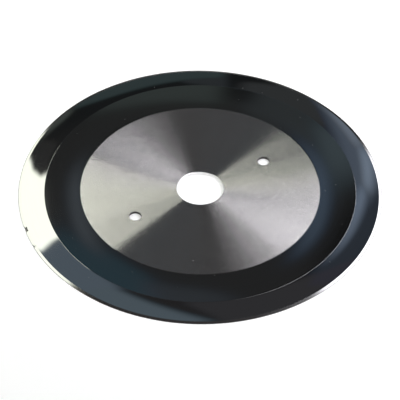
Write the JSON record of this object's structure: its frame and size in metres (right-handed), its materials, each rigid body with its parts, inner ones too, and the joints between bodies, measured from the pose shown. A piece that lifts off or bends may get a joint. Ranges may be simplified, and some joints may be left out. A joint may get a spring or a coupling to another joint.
{
  "type": "circular slitter knife",
  "caption": "Thin single-bevel circular slitter knife with an arbor bore, drive-pin holes, a ground clamping face and polished relief and bevel rings.",
  "frame": {"origin": "centre of the bore on the flat back face, which the knife lies on", "axes": "+Z along the bore axis, out of the bevelled side; +X through one drive-pin hole"},
  "size_m": [0.25, 0.25, 0.002],
  "materials": {
    "tool_steel": "hardened tool steel, circular ground on the clamping face and the back, mirror polished on the relief ring and the bevels"
  },
  "bodies": {
    "root": {"slitter_knife": "tool_steel"}
  },
  "joints": []
}
